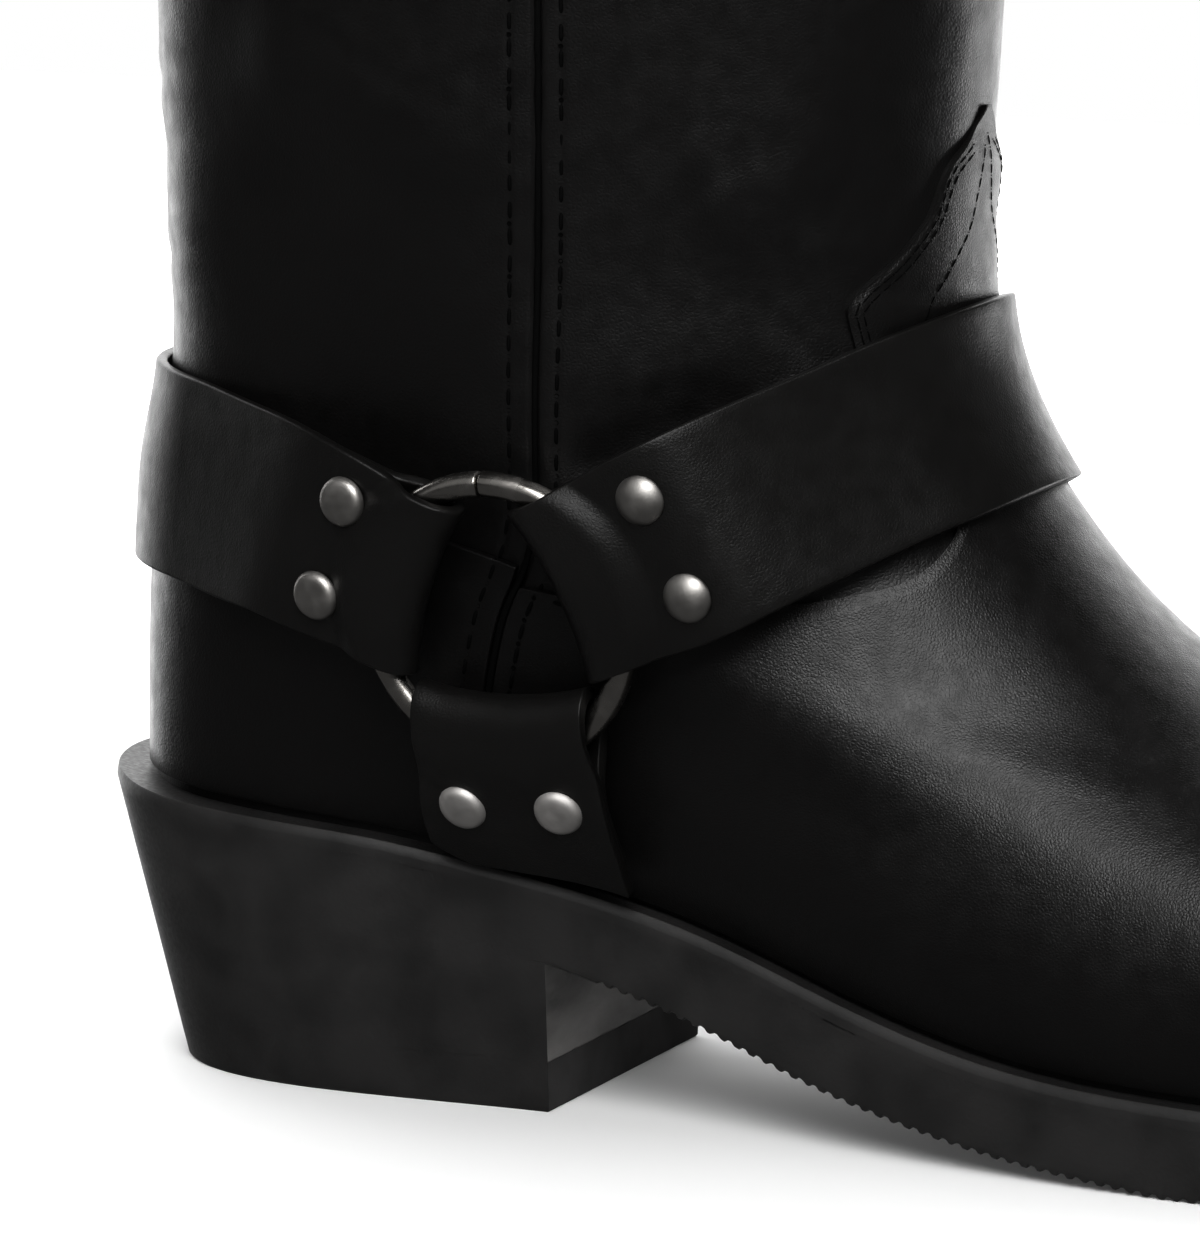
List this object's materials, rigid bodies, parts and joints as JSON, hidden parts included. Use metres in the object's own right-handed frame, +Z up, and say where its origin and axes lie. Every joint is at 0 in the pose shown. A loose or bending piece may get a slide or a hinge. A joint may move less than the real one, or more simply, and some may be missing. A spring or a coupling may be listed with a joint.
{
  "type": "biker boot",
  "caption": "Right harness boot: hollow black leather shaft and foot, ring-and-strap harness with domed rivets, welted rubber sole and underslung stacked heel.",
  "frame": {"origin": "middle of the heel's floor face, on the floor", "axes": "+X towards the toe, +Y towards the medial side, +Z up"},
  "size_m": [0.3116, 0.1135, 0.3001],
  "materials": {
    "upper_leather": "black oiled full-grain leather with a soft sheen",
    "strap_leather": "thicker black strap leather, satin",
    "welt": "black dyed welt, satin edge",
    "sole_rubber": "matt black rubber",
    "heel_stack": "black stacked heel, satin sides and a rough breast",
    "insole": "plain brown leather board",
    "nickel": "dark nickel plate, polished"
  },
  "bodies": {
    "root": {"harness_ring_lateral": "nickel", "harness_ring_medial": "nickel", "harness_strap_bottom_lateral": "strap_leather", "harness_strap_bottom_medial": "strap_leather", "harness_strap_front": "strap_leather", "harness_strap_rear": "strap_leather", "heel_block": "heel_stack", "heel_counter": "upper_leather", "heel_top_lift": "sole_rubber", "insole": "insole", "outsole": "sole_rubber", "rivet_bottom_lateral_1": "nickel", "rivet_bottom_lateral_2": "nickel", "rivet_bottom_medial_1": "nickel", "rivet_bottom_medial_2": "nickel", "rivet_front_lateral_1": "nickel", "rivet_front_lateral_2": "nickel", "rivet_front_medial_1": "nickel", "rivet_front_medial_2": "nickel", "rivet_rear_lateral_1": "nickel", "rivet_rear_lateral_2": "nickel", "rivet_rear_medial_1": "nickel", "rivet_rear_medial_2": "nickel", "side_piping_lateral": "upper_leather", "side_piping_medial": "upper_leather", "upper": "upper_leather", "vamp": "upper_leather", "welt": "welt"}
  },
  "joints": []
}
